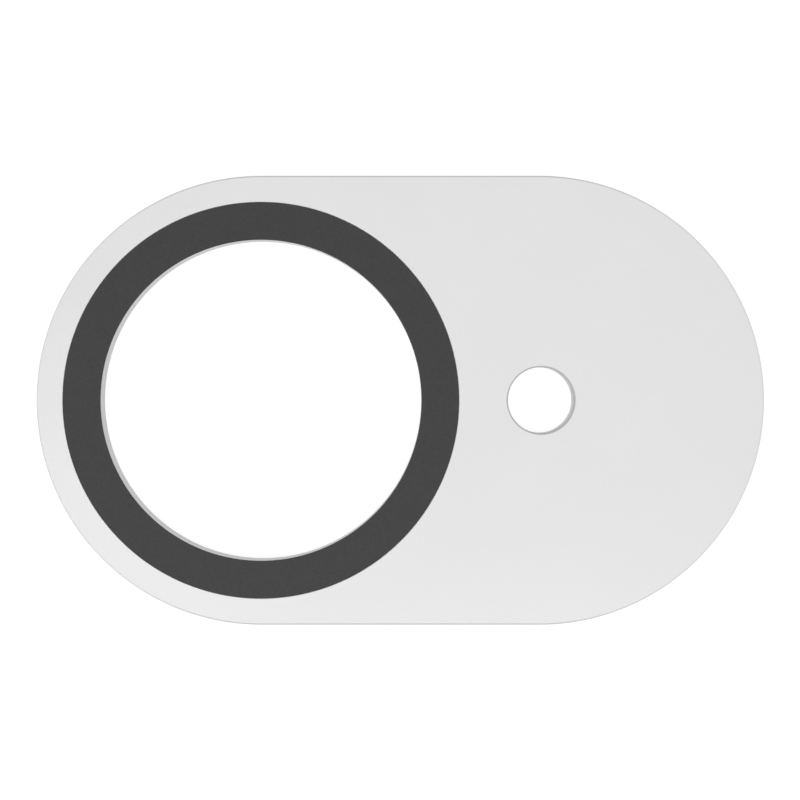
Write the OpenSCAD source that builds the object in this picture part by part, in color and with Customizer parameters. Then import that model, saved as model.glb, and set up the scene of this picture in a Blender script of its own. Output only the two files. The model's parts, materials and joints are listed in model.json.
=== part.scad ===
// Cover plate for a desktop webcam: a thin plate with round ends, a large round opening for the
// lens and a small round hole for the status light. A thin dark ring frames the lens opening and
// lies in a shallow seat, flush with the front face.
// The plate lies on its back face. The origin is on the axis of the lens opening, at the back face.
// +X runs towards the small hole, and +Z points out of the front face.

/* [Lens opening and ring] */
// Diameter of the opening that the lens looks through
lens_d = 24.3; // [15:0.1:40]
// Width of the ring's face, from the opening to its outer edge
ring_w = 2.85; // [1:0.05:5]
// Thickness of the ring, which is also the depth of its seat
ring_t = 0.1; // [0.05:0.05:0.3]
// Clearance round the ring's outer edge in its seat
seat_gap = 0.03; // [0.01:0.01:0.1]

/* [Plate] */
// Width of the plate's face left outside the ring, on the round end and on the straight sides
border_w = 2; // [1:0.1:8]
// Distance between the centres of the two round ends
end_spacing = 21.1; // [19:0.1:45]
// Thickness of the plate
plate_t = 1.5; // [1:0.1:4]
// Radius of the round on the plate's edges, at both faces
edge_r = 0.12; // [0.05:0.01:0.25]

/* [Small hole] */
// Diameter of the hole for the status light
light_d = 5; // [1:0.1:7]
// How far that hole's axis lies beyond the centre of the far round end
light_shift = 0.1; // [-1:0.05:3]

/* [Hidden] */
$fn = 180;
lens_r = lens_d / 2;
ring_r = lens_r + ring_w;
plate_r = ring_r + border_w;
light_r = light_d / 2;
light_x = end_spacing + light_shift;
seat_z = plate_t - ring_t;
// Cutters run out past each face by the plate's own thickness
cut_over = plate_t;

// Section of a stretch of plate from x = 0 out to its free edge at x = reach, rounded at the back
// face and, where front_round is true, at the front face too
module edge_section(reach, front_round = true) {
    front_step = front_round ? edge_r : 0;
    square([reach - edge_r, plate_t]);
    translate([0, edge_r]) square([reach, plate_t - edge_r - front_step]);
    translate([reach - edge_r, edge_r]) circle(edge_r);
    if (front_round) translate([reach - edge_r, plate_t - edge_r]) circle(edge_r);
}

// One round end: half a turn of the section, on the +X side
module round_end() {
    rotate([0, 0, -90]) rotate_extrude(angle = 180) edge_section(plate_r);
}

// The straight stretch between the two ends, with the same section on both sides
module straight_stretch() {
    for (side = [0, 1])
        mirror([0, side, 0])
            rotate([90, 0, 90])
                linear_extrude(height = end_spacing) edge_section(plate_r);
}

// Cutter for a round hole, which leaves the plate's own rounded edge round the hole
module hole_cutter(hole_r, front_round = true) {
    // Width of the stretch of plate beside the hole that shapes the cutter
    beside_w = plate_t;
    rotate_extrude()
        difference() {
            translate([0, -cut_over]) square([hole_r + edge_r, plate_t + 2 * cut_over]);
            translate([hole_r + beside_w, 0]) mirror([1, 0]) edge_section(beside_w, front_round);
        }
}

// Cutter for the shallow seat that takes the ring
module seat_cutter() {
    translate([0, 0, seat_z]) cylinder(r = ring_r + seat_gap, h = ring_t + cut_over);
}

module cover_plate() {
    color("gainsboro")
        difference() {
            union() {
                mirror([1, 0, 0]) round_end();
                straight_stretch();
                translate([end_spacing, 0, 0]) round_end();
            }
            hole_cutter(lens_r, front_round = false);
            seat_cutter();
            translate([light_x, 0, 0]) hole_cutter(light_r);
        }
}

module lens_ring() {
    color("dimgray")
        translate([0, 0, seat_z])
            rotate_extrude()
                translate([lens_r, 0]) square([ring_w, ring_t]);
}

cover_plate();
lens_ring();
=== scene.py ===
"""Webcam cover plate and its lens ring, dressed and lit for a still, laid out as an add-on."""
import json
import math

import bmesh
import bpy
from bpy.props import FloatProperty, FloatVectorProperty, IntProperty, PointerProperty
from bpy.types import Operator, Panel, PropertyGroup
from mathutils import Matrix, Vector


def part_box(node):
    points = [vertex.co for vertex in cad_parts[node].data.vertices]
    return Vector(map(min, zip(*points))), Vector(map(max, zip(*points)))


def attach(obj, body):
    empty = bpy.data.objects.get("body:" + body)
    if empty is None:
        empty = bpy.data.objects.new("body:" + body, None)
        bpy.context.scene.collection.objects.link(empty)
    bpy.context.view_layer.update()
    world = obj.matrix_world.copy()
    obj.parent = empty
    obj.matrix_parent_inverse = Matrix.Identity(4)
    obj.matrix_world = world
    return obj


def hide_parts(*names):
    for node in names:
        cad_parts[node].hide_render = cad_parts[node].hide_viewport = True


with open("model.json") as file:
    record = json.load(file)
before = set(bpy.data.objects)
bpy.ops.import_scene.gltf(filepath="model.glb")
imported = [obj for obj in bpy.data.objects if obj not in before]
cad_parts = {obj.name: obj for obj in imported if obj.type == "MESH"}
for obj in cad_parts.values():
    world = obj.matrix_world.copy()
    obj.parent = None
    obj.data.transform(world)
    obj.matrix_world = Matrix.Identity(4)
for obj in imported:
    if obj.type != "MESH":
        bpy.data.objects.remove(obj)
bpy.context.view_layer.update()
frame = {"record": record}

bl_info = {
    "name": "Webcam Cover",
    "version": (1, 0, 0),
    "blender": (4, 5, 0),
    "location": "View3D > Sidebar > Webcam Cover",
    "description": "Builds a thin webcam cover plate with its lens ring, and a plain studio round it",
    "category": "Object",
}

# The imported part, as it was loaded
PLATE_LOW, PLATE_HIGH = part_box("cover_plate")
RING_LOW, RING_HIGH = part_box("lens_ring")
MOUNTS = {mount["name"]: mount for mount in frame["record"]["mounts"]}
LENS_MOUNT = MOUNTS["lens_opening"]
LIGHT_MOUNT = MOUNTS["light_hole"]
MM = 0.001


class CoverSizes(PropertyGroup):
    """Sizes of the plate and the ring"""
    plate_radius: FloatProperty(
        name="End radius", description="Radius of the plate's round ends, half its width",
        default=PLATE_HIGH.y, min=0.005, unit="LENGTH", precision=5)
    end_spacing: FloatProperty(
        name="End spacing", description="Distance between the centres of the two round ends",
        default=PLATE_HIGH.x - PLATE_HIGH.y, min=0.0, unit="LENGTH", precision=5)
    plate_thickness: FloatProperty(
        name="Plate thickness", description="From the back face to the front face",
        default=PLATE_HIGH.z - PLATE_LOW.z, min=0.0005, unit="LENGTH", precision=5)
    edge_round: FloatProperty(
        name="Edge round", description="Radius of the round on the plate's edges",
        default=0.12 * MM, min=0.0, unit="LENGTH", precision=6)
    lens_radius: FloatProperty(
        name="Lens opening radius", description="Radius of the opening for the lens",
        default=LENS_MOUNT["dims"]["r_mm"] * MM, min=0.001, unit="LENGTH", precision=5)
    light_radius: FloatProperty(
        name="Light hole radius", description="Radius of the small hole for the status light",
        default=LIGHT_MOUNT["dims"]["r_mm"] * MM, min=0.0005, unit="LENGTH", precision=5)
    light_x: FloatProperty(
        name="Light hole place", description="Distance from the lens axis to the small hole's axis",
        default=LIGHT_MOUNT["pos_m"][0], min=0.0, unit="LENGTH", precision=5)
    ring_radius: FloatProperty(
        name="Ring radius", description="Outer radius of the lens ring",
        default=RING_HIGH.y, min=0.001, unit="LENGTH", precision=5)
    ring_thickness: FloatProperty(
        name="Ring thickness", description="Thickness of the lens ring, and depth of its seat",
        default=RING_HIGH.z - RING_LOW.z, min=0.00002, unit="LENGTH", precision=6)
    ring_edge: FloatProperty(
        name="Ring edge round", description="Radius of the round on the ring's two front edges",
        default=0.004 * MM, min=0.0, unit="LENGTH", precision=6)
    seat_gap: FloatProperty(
        name="Seat gap", description="Clearance between the ring's outer edge and its seat",
        default=0.03 * MM, min=0.0, unit="LENGTH", precision=6)
    large_steps: IntProperty(
        name="Large circle steps", description="Straight steps round the outline and the lens opening",
        default=256, min=32, max=1024)
    small_steps: IntProperty(
        name="Small circle steps", description="Straight steps round the small hole",
        default=128, min=16, max=512)
    round_steps: IntProperty(
        name="Edge steps", description="Straight steps across a rounded edge of the plate",
        default=6, min=1, max=16)
    ring_edge_steps: IntProperty(
        name="Ring edge steps", description="Straight steps across a rounded edge of the ring",
        default=2, min=1, max=8)


class CoverFinish(PropertyGroup):
    """Colours and surface of the plate and the ring"""
    plate_colour: FloatVectorProperty(
        name="Plate colour", description="Colour of the moulded plate",
        default=(0.785, 0.785, 0.785), min=0.0, max=1.0, subtype="COLOR")
    plate_shade: FloatVectorProperty(
        name="Plate shade", description="Colour of the plate's faint darker mottling",
        default=(0.737, 0.737, 0.737), min=0.0, max=1.0, subtype="COLOR")
    # Painted shade: a darker grey laid over the colour of the rounded edges, standing in for the shade
    # that falls on those rounds
    painted_edge_shade: FloatVectorProperty(
        name="Plate edge colour", description="Colour along the plate's rounded edges",
        default=(0.50, 0.50, 0.50), min=0.0, max=1.0, subtype="COLOR")
    ring_colour: FloatVectorProperty(
        name="Ring colour", description="Colour of the film ring",
        default=(0.045, 0.045, 0.045), min=0.0, max=1.0, subtype="COLOR")
    ring_shade: FloatVectorProperty(
        name="Ring shade", description="Colour of the ring's darker grain",
        default=(0.034, 0.034, 0.034), min=0.0, max=1.0, subtype="COLOR")
    plate_grain: FloatProperty(
        name="Plate grain size", description="Size of the mould's fine texture on the plate",
        default=0.09 * MM, min=0.00001, unit="LENGTH", precision=6)
    ring_grain: FloatProperty(
        name="Ring grain size", description="Size of the film's surface grain",
        default=0.16 * MM, min=0.00001, unit="LENGTH", precision=6)
    draw_marks: FloatProperty(
        name="Draw mark spacing", description="Spacing of the faint upright marks on the plate's walls",
        default=0.22 * MM, min=0.00001, unit="LENGTH", precision=6)


class StageSettings(PropertyGroup):
    """Camera and lamps"""
    camera_distance: FloatProperty(
        name="Camera distance", description="From the camera down to the plate's front face",
        default=87.3 * MM, min=0.01, unit="LENGTH", precision=4)
    overhead_brightness: FloatProperty(
        name="Overhead lamp", description="Brightness of the large softbox overhead, where 1 is white",
        default=1.32, min=0.0)
    left_brightness: FloatProperty(
        name="Left lamp", description="Brightness of the softbox at the front left, where 1 is white",
        default=1.75, min=0.0)
    front_brightness: FloatProperty(
        name="Front lamp", description="Brightness of the softbox at the front, where 1 is white",
        default=1.42, min=0.0)
    sky_brightness: FloatProperty(
        name="Sky", description="Brightness of the even light from all round, where 1 is white",
        default=0.5, min=0.0)


def circle(centre_x, radius, steps, start=0.0, sweep=math.tau, closed=True):
    """Points of an arc round (centre_x, 0); an open arc also holds its last point."""
    count = steps if closed else steps + 1
    return [(centre_x + radius * math.cos(start + sweep * i / steps),
             radius * math.sin(start + sweep * i / steps)) for i in range(count)]


def outline(sizes, inset):
    """Points of the plate's outline, moved inwards by inset: the far round end, then the near one."""
    radius = sizes.plate_radius - inset
    steps = sizes.large_steps // 2
    far_end = circle(sizes.end_spacing, radius, steps, -math.pi / 2, math.pi, closed=False)
    near_end = circle(0.0, radius, steps, math.pi / 2, math.pi, closed=False)
    return far_end + near_end


def quarter_round(radius, steps):
    """(inset, drop) pairs of a rounded edge, from where it leaves a face to where it meets the wall."""
    turns = [math.pi / 2 * i / steps for i in range(steps + 1)]
    return [(radius * (1 - math.sin(turn)), radius * (1 - math.cos(turn))) for turn in turns]


def add_loop(mesh, points, height):
    """New vertices at the points, all at one height."""
    return [mesh.verts.new((x, y, height)) for x, y in points]


def join_loops(mesh, loops, marks=()):
    """Joins each loop to the next by quads; marks holds, for each step, (face layer, value) pairs."""
    for i in range(len(loops) - 1):
        here, ahead = loops[i], loops[i + 1]
        for j, corner in enumerate(here):
            following = (j + 1) % len(here)
            face = mesh.faces.new((corner, ahead[j], ahead[following], here[following]))
            for layer, value in marks[i] if marks else ():
                face[layer] = value


def fill_flat(mesh, loops):
    """Fills the flat face between its outer loop and the holes in it."""
    edges = [mesh.edges.get((loop[i - 1], loop[i])) for loop in loops for i in range(len(loop))]
    bmesh.ops.triangle_fill(mesh, use_beauty=True, use_dissolve=False, edges=edges)


# Faces that tilt less than the first from level are shaded flat, and edges that turn less than the
# second are shaded smooth
FLAT_TILT = math.radians(2)
SMOOTH_TURN = math.radians(35)


def finish_mesh(name, mesh, material):
    """Turns a bmesh into a piece that rides on the part, with crisp flats and smooth rounds."""
    bmesh.ops.recalc_face_normals(mesh, faces=mesh.faces)
    for face in mesh.faces:
        face.smooth = abs(face.normal.z) < math.cos(FLAT_TILT)
    for edge in mesh.edges:
        edge.smooth = edge.calc_face_angle(0.0) < SMOOTH_TURN
    data = bpy.data.meshes.new(name)
    mesh.to_mesh(data)
    mesh.free()
    data.materials.append(material)
    piece = bpy.data.objects.new(name, data)
    bpy.context.scene.collection.objects.link(piece)
    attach(piece, "root")
    return piece


# How much of the painted edge shade the outline's rounds show, against those of the openings: most
# along the straight sides, and fading over the first stretch of each round end
STRAIGHT_SIDE_PAINTED_SHADE = 0.65
ROUND_END_PAINTED_SHADE = 0.08
SHADE_FADE = math.radians(45)


def outline_painted_shade(sizes, middle):
    """Share of the painted edge shade at a point of the outline, by how far the round end has turned
    there.
    """
    past_straight = max(0.0, -middle.x, middle.x - sizes.end_spacing)
    turn = math.atan2(past_straight, abs(middle.y))
    share = max(0.0, 1 - turn / SHADE_FADE)
    return ROUND_END_PAINTED_SHADE + (STRAIGHT_SIDE_PAINTED_SHADE - ROUND_END_PAINTED_SHADE) * share


def plate_mesh(sizes):
    """The plate: rounded outline, rounded small hole, lens opening with the ring's seat."""
    mesh = bmesh.new()
    # edge_shade holds how much painted shade the colour of each face takes; it is set on the rounded
    # lips
    shade = mesh.faces.layers.float.new("edge_shade")
    side = mesh.faces.layers.float.new("side")
    top = sizes.plate_thickness
    rounded = quarter_round(sizes.edge_round, sizes.round_steps)
    front_lip = [(inset, top - drop) for inset, drop in rounded]
    back_lip = [(inset, drop) for inset, drop in reversed(rounded)]
    # The rounded lips take the walls' duller roughness and the full painted edge shade
    on_lip = [((side, 1.0), (shade, 1.0))] * sizes.round_steps
    on_wall = [((side, 1.0),)]
    on_seat = [(), ()]

    def hole(centre_x, radius, steps, section):
        """Loops of a round hole; section gives how much wider than radius each is, and its height."""
        return [add_loop(mesh, circle(centre_x, radius + inset, steps), height)
                for inset, height in section]

    rim = [add_loop(mesh, outline(sizes, inset), height) for inset, height in front_lip + back_lip]
    join_loops(mesh, rim, on_lip + on_wall + on_lip)
    # The outline's lips keep only part of the painted edge shade, by how far the round end has turned
    for face in mesh.faces:
        if face[shade]:
            face[shade] = outline_painted_shade(sizes, face.calc_center_median())

    light = hole(sizes.light_x, sizes.light_radius, sizes.small_steps, front_lip + back_lip)
    join_loops(mesh, light, on_lip + on_wall + on_lip)

    seat_width = sizes.ring_radius + sizes.seat_gap - sizes.lens_radius
    seat_height = top - sizes.ring_thickness
    seat = [(seat_width, top), (seat_width, seat_height), (0.0, seat_height)]
    lens = hole(0.0, sizes.lens_radius, sizes.large_steps, seat + back_lip)
    join_loops(mesh, lens, on_seat + on_wall + on_lip)

    fill_flat(mesh, (rim[0], lens[0], light[0]))
    fill_flat(mesh, (rim[-1], lens[-1], light[-1]))
    return mesh


def ring_mesh(sizes):
    """The ring: a flat film with its two front edges just eased."""
    mesh = bmesh.new()
    top = sizes.plate_thickness
    bottom = top - sizes.ring_thickness
    eased = quarter_round(sizes.ring_edge, sizes.ring_edge_steps)
    inner = [(sizes.lens_radius + inset, top - drop) for inset, drop in eased]
    outer = [(sizes.ring_radius - inset, top - drop) for inset, drop in eased]
    profile = outer[::-1] + inner + [(sizes.lens_radius, bottom), (sizes.ring_radius, bottom)]
    loops = [add_loop(mesh, circle(0.0, radius, sizes.large_steps), height)
             for radius, height in profile]
    join_loops(mesh, loops + loops[:1])
    return mesh


class NodeSheet:
    """Places and links shader nodes by short calls."""

    def __init__(self, tree):
        self.tree = tree

    def add(self, kind, **settings):
        node = self.tree.nodes.new(kind)
        for name, value in settings.items():
            setattr(node, name, value)
        return node

    def link(self, source, target):
        self.tree.links.new(source, target)

    def feed(self, node, name, value):
        """Sets an input of a node: links it if value is a socket, and writes it if it isn't."""
        if isinstance(value, bpy.types.NodeSocket):
            self.link(value, node.inputs[name])
        else:
            node.inputs[name].default_value = value

    def math(self, operation, *values):
        """A Math node with its inputs in order."""
        node = self.add("ShaderNodeMath", operation=operation)
        for place, value in enumerate(values):
            self.feed(node, place, value)
        return node.outputs["Value"]

    def remap(self, value, low, high):
        """Spreads a value from 0 to 1 over low to high."""
        node = self.add("ShaderNodeMapRange")
        self.feed(node, "Value", value)
        self.feed(node, "To Min", low)
        self.feed(node, "To Max", high)
        return node.outputs["Result"]

    def noise(self, vector, scale, detail, roughness=0.5):
        """Cloudy noise from 0 to 1; scale is in patches per metre."""
        node = self.add("ShaderNodeTexNoise")
        self.feed(node, "Vector", vector)
        self.feed(node, "Scale", scale)
        self.feed(node, "Detail", detail)
        self.feed(node, "Roughness", roughness)
        return node.outputs["Fac"]

    # A Mix node has a pair of inputs named A and B for each kind of data, so they go by number:
    # 2 and 3 for numbers, and 6 and 7 for colours

    def mix_values(self, share, first, second):
        node = self.add("ShaderNodeMix", data_type="FLOAT")
        self.feed(node, 0, share)
        self.feed(node, 2, first)
        self.feed(node, 3, second)
        return node.outputs[0]

    def mix_colours(self, share, first, second):
        node = self.add("ShaderNodeMix", data_type="RGBA")
        self.feed(node, 0, share)
        for place, colour in ((6, first), (7, second)):
            is_socket = isinstance(colour, bpy.types.NodeSocket)
            self.feed(node, place, colour if is_socket else (*colour, 1.0))
        return node.outputs[2]


# Socket types of the shader groups' inputs and outputs, by the kind of value
SOCKET_KINDS = {"value": "NodeSocketFloat", "vector": "NodeSocketVector"}


def new_group(name, inputs, outputs):
    """A shader node group with named sockets; returns it, its sheet, and its input and output nodes."""
    group = bpy.data.node_groups.new(name, "ShaderNodeTree")
    for label, kind in inputs:
        group.interface.new_socket(label, in_out="INPUT", socket_type=SOCKET_KINDS[kind])
    for label, kind in outputs:
        group.interface.new_socket(label, in_out="OUTPUT", socket_type=SOCKET_KINDS[kind])
    sheet = NodeSheet(group)
    return group, sheet, sheet.add("NodeGroupInput"), sheet.add("NodeGroupOutput")


# The grain: its octaves, the height of its cells against its noise, and how far the speckle mask
# is spread past 0 and 1, so that the noise's usual middle range fills it
GRAIN_DETAIL = 2.0
CELL_HEIGHT = 0.6
SPECKLE_LOW, SPECKLE_HIGH = -0.4, 1.4


def surface_grain_group():
    """Fine moulded or calendered grain: a height for the bump, and a soft speckle mask."""
    name = "Surface grain"
    if name in bpy.data.node_groups:
        return bpy.data.node_groups[name]
    group, sheet, given, made = new_group(
        name,
        (("Vector", "vector"), ("Grain per metre", "value")),
        (("Height", "value"), ("Speckle", "value")))
    cells = sheet.add("ShaderNodeTexVoronoi", feature="SMOOTH_F1")
    sheet.link(given.outputs["Vector"], cells.inputs["Vector"])
    sheet.link(given.outputs["Grain per metre"], cells.inputs["Scale"])
    fine = sheet.noise(given.outputs["Vector"], given.outputs["Grain per metre"], GRAIN_DETAIL)
    height = sheet.math("MULTIPLY_ADD", cells.outputs["Distance"], CELL_HEIGHT, fine)
    sheet.link(height, made.inputs["Height"])
    sheet.link(sheet.remap(fine, SPECKLE_LOW, SPECKLE_HIGH), made.inputs["Speckle"])
    return group


# The mottle: octaves of its tone and of its gloss, how strong the gloss's finer octaves are, and
# how many times smaller the gloss's patches are than the tone's
TONE_DETAIL = 3.0
GLOSS_DETAIL = 4.0
GLOSS_ROUGHNESS = 0.6
GLOSS_CLOSENESS = 2.7


def soft_mottle_group():
    """Broad, faint unevenness of a moulded or rolled surface: one mask for colour, one for gloss."""
    name = "Soft mottle"
    if name in bpy.data.node_groups:
        return bpy.data.node_groups[name]
    group, sheet, given, made = new_group(
        name,
        (("Vector", "vector"), ("Patches per metre", "value")),
        (("Tone", "value"), ("Gloss", "value")))
    patches = given.outputs["Patches per metre"]
    closer = sheet.math("MULTIPLY", patches, GLOSS_CLOSENESS)
    tone = sheet.noise(given.outputs["Vector"], patches, TONE_DETAIL)
    gloss = sheet.noise(given.outputs["Vector"], closer, GLOSS_DETAIL, GLOSS_ROUGHNESS)
    sheet.link(tone, made.inputs["Tone"])
    sheet.link(gloss, made.inputs["Gloss"])
    return group


def new_material(name):
    """A material with only a Principled shader; returns it, its sheet and the shader."""
    material = bpy.data.materials.new(name)
    material.use_nodes = True
    material.node_tree.nodes.clear()
    sheet = NodeSheet(material.node_tree)
    shader = sheet.add("ShaderNodeBsdfPrincipled")
    output = sheet.add("ShaderNodeOutputMaterial")
    sheet.link(shader.outputs["BSDF"], output.inputs["Surface"])
    return material, sheet, shader


def place_group(sheet, group, vector, label, value):
    """Puts a shader group in a material, at the vector's places, with its one setting."""
    node = sheet.add("ShaderNodeGroup", node_tree=group)
    sheet.feed(node, "Vector", vector)
    sheet.feed(node, label, value)
    return node


def add_bump(sheet, shader, height, strength, distance):
    """Gives a shader fine relief; distance is in metres for a height of 1."""
    bump = sheet.add("ShaderNodeBump")
    sheet.feed(bump, "Height", height)
    sheet.feed(bump, "Strength", strength)
    sheet.feed(bump, "Distance", distance)
    sheet.link(bump.outputs["Normal"], shader.inputs["Normal"])


# The plate's plastic: patches of its mottle across a metre, how much of the mottling is fine
# speckle, the roughness of its faces and of its walls, and its relief
PLATE_PATCHES = 180.0
SPECKLE_SHARE = 0.4
FACE_ROUGHNESS = (0.17, 0.23)
WALL_ROUGHNESS = (0.56, 0.64)
PLATE_BUMP_STRENGTH = 0.6
PLATE_BUMP_HEIGHT = 0.008 * MM

# The marks that drawing from the mould leaves on the walls: their octaves, how slowly they change
# upwards against across, and their height against the grain's
DRAW_MARK_DETAIL = 3.0
DRAW_MARK_STRETCH = (1.0, 1.0, 0.04)
DRAW_MARK_HEIGHT = 4.0


def satin_plastic(finish):
    """Pale moulded plastic: satin mottled faces, duller walls with draw marks, painted shade on the
    rounded edges.
    """
    material, sheet, shader = new_material("satin_plastic")
    place = sheet.add("ShaderNodeTexCoord").outputs["Object"]
    side = sheet.add("ShaderNodeAttribute", attribute_name="side").outputs["Fac"]
    # edge_shade is the share of painted edge shade at each face
    edge = sheet.add("ShaderNodeAttribute", attribute_name="edge_shade").outputs["Fac"]
    grain = place_group(sheet, surface_grain_group(), place, "Grain per metre", 1 / finish.plate_grain)
    mottle = place_group(sheet, soft_mottle_group(), place, "Patches per metre", PLATE_PATCHES)

    shade = sheet.mix_values(SPECKLE_SHARE, mottle.outputs["Tone"], grain.outputs["Speckle"])
    body = sheet.mix_colours(shade, finish.plate_colour, finish.plate_shade)
    # Painted shade: the colour of the rounded edges is darkened towards the painted edge shade grey
    sheet.link(sheet.mix_colours(edge, body, finish.painted_edge_shade), shader.inputs["Base Color"])

    on_face = sheet.remap(mottle.outputs["Gloss"], *FACE_ROUGHNESS)
    on_wall = sheet.remap(mottle.outputs["Gloss"], *WALL_ROUGHNESS)
    sheet.link(sheet.remap(side, on_face, on_wall), shader.inputs["Roughness"])

    upright = sheet.add("ShaderNodeVectorMath", operation="MULTIPLY")
    sheet.feed(upright, 0, place)
    sheet.feed(upright, 1, DRAW_MARK_STRETCH)
    streaks = sheet.noise(upright.outputs[0], 1 / finish.draw_marks, DRAW_MARK_DETAIL)
    marks = sheet.math("MULTIPLY", streaks, DRAW_MARK_HEIGHT)
    height = sheet.mix_values(side, grain.outputs["Height"], marks)
    add_bump(sheet, shader, height, PLATE_BUMP_STRENGTH, PLATE_BUMP_HEIGHT)
    return material


# The ring's film: patches of its mottle across a metre, its roughness, its shine and its relief
FILM_PATCHES = 240.0
FILM_ROUGHNESS = (0.58, 0.66)
FILM_SPECULAR = 0.25
FILM_BUMP_STRENGTH = 0.5
FILM_BUMP_HEIGHT = 0.006 * MM


def matt_film(finish):
    """Dark calendered film: close grain, little gloss."""
    material, sheet, shader = new_material("matt_film")
    place = sheet.add("ShaderNodeTexCoord").outputs["Object"]
    grain = place_group(sheet, surface_grain_group(), place, "Grain per metre", 1 / finish.ring_grain)
    mottle = place_group(sheet, soft_mottle_group(), place, "Patches per metre", FILM_PATCHES)
    colour = sheet.mix_colours(grain.outputs["Speckle"], finish.ring_colour, finish.ring_shade)
    sheet.link(colour, shader.inputs["Base Color"])
    sheet.link(sheet.remap(mottle.outputs["Gloss"], *FILM_ROUGHNESS), shader.inputs["Roughness"])
    sheet.feed(shader, "Specular IOR Level", FILM_SPECULAR)
    add_bump(sheet, shader, grain.outputs["Height"], FILM_BUMP_STRENGTH, FILM_BUMP_HEIGHT)
    return material


class WEBCAMCOVER_OT_plate(Operator):
    """Build the plate with its rounded edges, both openings and the ring's seat"""
    bl_idname = "webcam_cover.plate"
    bl_label = "Cover plate"

    def execute(self, context):
        scene = context.scene
        material = satin_plastic(scene.cover_finish)
        piece = finish_mesh("plate", plate_mesh(scene.cover_sizes), material)
        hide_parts("cover_plate")
        return {"FINISHED"}


class WEBCAMCOVER_OT_ring(Operator):
    """Build the film ring in its seat round the lens opening"""
    bl_idname = "webcam_cover.ring"
    bl_label = "Lens ring"

    def execute(self, context):
        scene = context.scene
        material = matt_film(scene.cover_finish)
        piece = finish_mesh("film_ring", ring_mesh(scene.cover_sizes), material)
        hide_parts("lens_ring")
        return {"FINISHED"}


# Where the photograph, 800 pixels square, shows things; pixel centres are at whole numbers
PHOTO_PIXELS = 800
LENS_AXIS_PIXEL = Vector((260.4, 399.8))
RING_RADIUS_PIXELS = 198.2
VANISHING_PIXEL = Vector((396.0, 379.4))
SENSOR_WIDTH_MM = 36.0

# The camera's near and far limits are its distance divided by this, and times this
CLIP_RANGE = 100


def build_camera(sizes, stage):
    """A camera that looks straight down, with the shift that the photograph's framing needs."""
    metres_per_pixel = sizes.ring_radius / RING_RADIUS_PIXELS
    frame_width = PHOTO_PIXELS * metres_per_pixel
    middle = Vector(((PHOTO_PIXELS - 1) / 2, (PHOTO_PIXELS - 1) / 2))
    foot = (VANISHING_PIXEL - LENS_AXIS_PIXEL) * metres_per_pixel
    data = bpy.data.cameras.new("camera")
    data.sensor_width = SENSOR_WIDTH_MM
    data.lens = SENSOR_WIDTH_MM * stage.camera_distance / frame_width
    data.shift_x = (middle.x - VANISHING_PIXEL.x) / PHOTO_PIXELS
    data.shift_y = (VANISHING_PIXEL.y - middle.y) / PHOTO_PIXELS
    data.clip_start = stage.camera_distance / CLIP_RANGE
    data.clip_end = stage.camera_distance * CLIP_RANGE
    camera = bpy.data.objects.new("camera", data)
    camera.location = (foot.x, -foot.y, sizes.plate_thickness + stage.camera_distance)
    bpy.context.scene.collection.objects.link(camera)
    bpy.context.scene.camera = camera


def seen_directly(sheet):
    """1 for the rays that show a background: from the camera, by reflection or through glass."""
    path = sheet.add("ShaderNodeLightPath").outputs
    shown = sheet.math("MAXIMUM", path["Is Camera Ray"], path["Is Glossy Ray"])
    return sheet.math("MAXIMUM", shown, path["Is Transmission Ray"])


def mix_shaders(sheet, share, first, second):
    """Shows the second shader where share is 1, and the first where it is 0."""
    mix = sheet.add("ShaderNodeMixShader")
    for place, source in enumerate((share, first, second)):
        sheet.link(source, mix.inputs[place])
    return mix.outputs[0]


def build_sky(strength):
    """Even soft light from all round; the background itself shows white."""
    world = bpy.data.worlds.new("studio")
    world.use_nodes = True
    bpy.context.scene.world = world
    world.node_tree.nodes.clear()
    sheet = NodeSheet(world.node_tree)

    def background(level):
        node = sheet.add("ShaderNodeBackground")
        sheet.feed(node, "Color", (1.0, 1.0, 1.0, 1.0))
        sheet.feed(node, "Strength", level)
        return node.outputs[0]

    output = sheet.add("ShaderNodeOutputWorld")
    shader = mix_shaders(sheet, seen_directly(sheet), background(strength), background(1.0))
    sheet.link(shader, output.inputs["Surface"])


# The floor's whites: what it throws back at the object, the part of its own look that lamps and
# shadows change, and the even glow that lifts that part to white
FLOOR_BOUNCE = 0.8
FLOOR_SHOWN = 0.25
FLOOR_LIFT = 0.84


def floor_material():
    """White floor that keeps a shadow, shows white where it is lit, and is clear from below."""
    material = bpy.data.materials.new("floor_white")
    material.use_nodes = True
    material.node_tree.nodes.clear()
    sheet = NodeSheet(material.node_tree)

    def card(level):
        node = sheet.add("ShaderNodeBsdfDiffuse")
        sheet.feed(node, "Color", (level, level, level, 1.0))
        return node.outputs[0]

    lift = sheet.add("ShaderNodeEmission")
    sheet.feed(lift, "Strength", FLOOR_LIFT)
    shown = sheet.add("ShaderNodeAddShader")
    sheet.link(card(FLOOR_SHOWN), shown.inputs[0])
    sheet.link(lift.outputs[0], shown.inputs[1])
    from_above = mix_shaders(sheet, seen_directly(sheet), card(FLOOR_BOUNCE), shown.outputs[0])
    from_below = sheet.add("ShaderNodeBsdfTransparent").outputs[0]
    backfacing = sheet.add("ShaderNodeNewGeometry").outputs["Backfacing"]
    output = sheet.add("ShaderNodeOutputMaterial")
    sheet.link(mix_shaders(sheet, backfacing, from_above, from_below), output.inputs["Surface"])
    return material


# Half the floor's width, and how far it lies below the plate's back face
FLOOR_HALF_WIDTH = 0.15
FLOOR_DROP = 0.01 * MM


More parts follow.
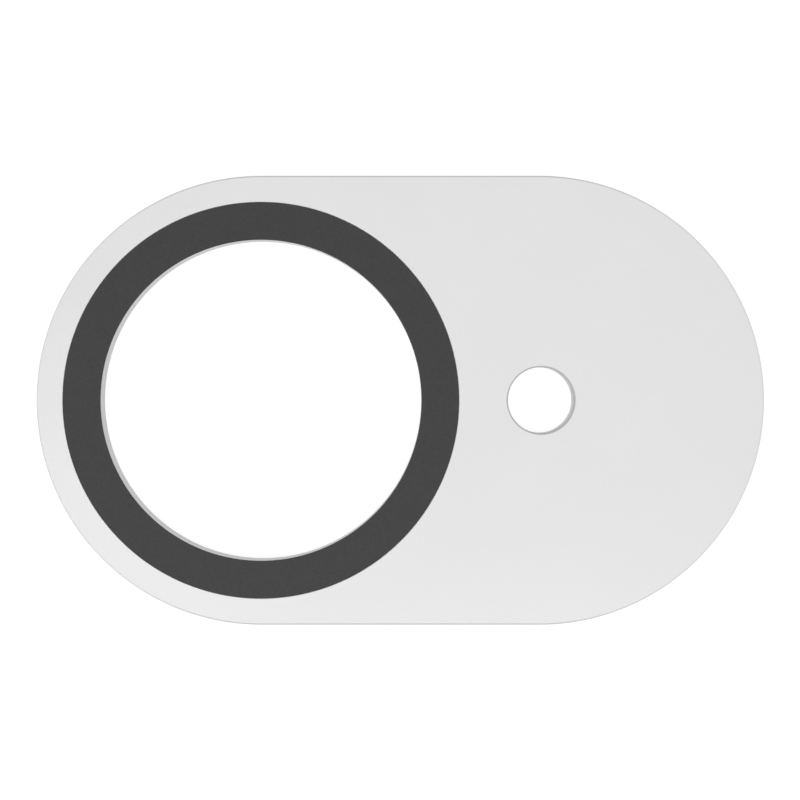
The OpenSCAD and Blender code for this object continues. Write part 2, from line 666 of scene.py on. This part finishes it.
def build_floor(sizes):
    """A plain floor just under the plate, open beneath its back face so that light reaches that too."""
    mesh = bmesh.new()
    half = FLOOR_HALF_WIDTH
    corners = [(-half, -half), (half, -half), (half, half), (-half, half)]
    loops = [add_loop(mesh, points, 0.0) for points in (corners, outline(sizes, sizes.edge_round))]
    for loop in loops:
        for i, corner in enumerate(loop):
            mesh.edges.new((loop[i - 1], corner))
    fill_flat(mesh, loops)
    for centre_x, radius in ((0.0, sizes.lens_radius), (sizes.light_x, sizes.light_radius)):
        disc = circle(centre_x, radius + sizes.edge_round, sizes.large_steps)
        mesh.faces.new(add_loop(mesh, disc, 0.0))
    for face in mesh.faces:
        face.normal_update()
        if face.normal.z < 0:
            face.normal_flip()
    data = bpy.data.meshes.new("floor")
    mesh.to_mesh(data)
    mesh.free()
    data.materials.append(floor_material())
    floor = bpy.data.objects.new("floor", data)
    floor.location.z = -FLOOR_DROP
    bpy.context.scene.collection.objects.link(floor)


# The softboxes: where each hangs, its width and its depth; the stage settings hold its brightness
SOFTBOXES = {
    "overhead": ((0.060, -0.060, 0.600), 0.50, 0.50),
    "left": ((-0.110, -0.070, 0.250), 0.15, 0.15),
    "front": ((0.040, -0.120, 0.250), 0.15, 0.13),
}


def add_softbox(name, brightness):
    """A level lamp that shines straight down; its face looks as bright as a white of that value."""
    place, width, depth = SOFTBOXES[name]
    data = bpy.data.lights.new(name, "AREA")
    data.shape = "RECTANGLE"
    data.size = width
    data.size_y = depth
    data.energy = brightness * math.pi * width * depth
    lamp = bpy.data.objects.new(name, data)
    lamp.location = place
    bpy.context.scene.collection.objects.link(lamp)


class WEBCAMCOVER_OT_stage(Operator):
    """Set the floor, the sky, the softboxes and the camera"""
    bl_idname = "webcam_cover.stage"
    bl_label = "Studio"

    def execute(self, context):
        scene = context.scene
        stage = scene.cover_stage
        scene.view_settings.view_transform = "Standard"
        build_camera(scene.cover_sizes, stage)
        build_sky(stage.sky_brightness)
        build_floor(scene.cover_sizes)
        add_softbox("overhead", stage.overhead_brightness)
        add_softbox("left", stage.left_brightness)
        add_softbox("front", stage.front_brightness)
        return {"FINISHED"}


class WEBCAMCOVER_PT_panel(Panel):
    """Lists the pieces and the studio"""
    bl_idname = "WEBCAMCOVER_PT_panel"
    bl_label = "Webcam Cover"
    bl_space_type = "VIEW_3D"
    bl_region_type = "UI"
    bl_category = "Webcam Cover"

    def draw(self, context):
        for operator in OPERATORS:
            self.layout.operator(operator.bl_idname)
        for name in GROUPS:
            settings = getattr(context.scene, name)
            box = self.layout.box()
            for field in settings.__annotations__:
                box.prop(settings, field)


OPERATORS = (WEBCAMCOVER_OT_plate, WEBCAMCOVER_OT_ring, WEBCAMCOVER_OT_stage)
GROUPS = {"cover_sizes": CoverSizes, "cover_finish": CoverFinish, "cover_stage": StageSettings}


def register():
    for name, group in GROUPS.items():
        bpy.utils.register_class(group)
        setattr(bpy.types.Scene, name, PointerProperty(type=group))
    for operator in OPERATORS:
        bpy.utils.register_class(operator)
    bpy.utils.register_class(WEBCAMCOVER_PT_panel)


def unregister():
    bpy.utils.unregister_class(WEBCAMCOVER_PT_panel)
    for operator in reversed(OPERATORS):
        bpy.utils.unregister_class(operator)
    for name, group in reversed(GROUPS.items()):
        delattr(bpy.types.Scene, name)
        bpy.utils.unregister_class(group)


def main():
    register()
    bpy.ops.webcam_cover.plate()
    bpy.ops.webcam_cover.ring()
    bpy.ops.webcam_cover.stage()


if __name__ == "__main__":
    main()
